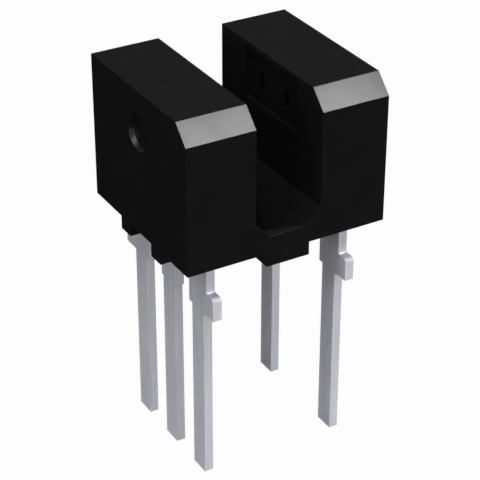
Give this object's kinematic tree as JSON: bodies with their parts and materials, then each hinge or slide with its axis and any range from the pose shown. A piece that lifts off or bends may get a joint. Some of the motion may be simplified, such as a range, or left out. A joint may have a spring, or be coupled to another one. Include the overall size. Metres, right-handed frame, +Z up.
{
  "type": "slotted optical switch",
  "caption": "Miniature slotted optical switch: black forked housing with a sensing slot, two light channels and straight through-hole leads.",
  "frame": {"origin": "middle of the seating plane, which is the underside of the four feet and of the bar under the bridge", "axes": "+X across the slot from the three-lead detector tower to the two-lead emitter tower, +Y from the chamfered front to the back, +Z up out of the board"},
  "size_m": [0.0046, 0.004, 0.0087],
  "materials": {
    "housing_plastic": "fine moulded satin black",
    "mould_epoxy": "smooth, near-black infrared-passing epoxy",
    "tin_plate": "satin tin plating, drawn lengthwise",
    "chip": "polished semiconductor",
    "bond_wire": "bright gold"
  },
  "bodies": {
    "root": {"housing": "housing_plastic", "detector_mould": "mould_epoxy", "emitter_mould": "mould_epoxy", "detector_lead_back": "tin_plate", "detector_lead_common": "tin_plate", "detector_lead_front": "tin_plate", "emitter_lead_back": "tin_plate", "emitter_lead_front": "tin_plate", "detector_chip_back": "chip", "detector_chip_front": "chip", "emitter_chip_back": "chip", "emitter_chip_front": "chip", "detector_wire_back": "bond_wire", "detector_wire_front": "bond_wire", "emitter_wire_back": "bond_wire", "emitter_wire_front": "bond_wire"}
  },
  "joints": []
}
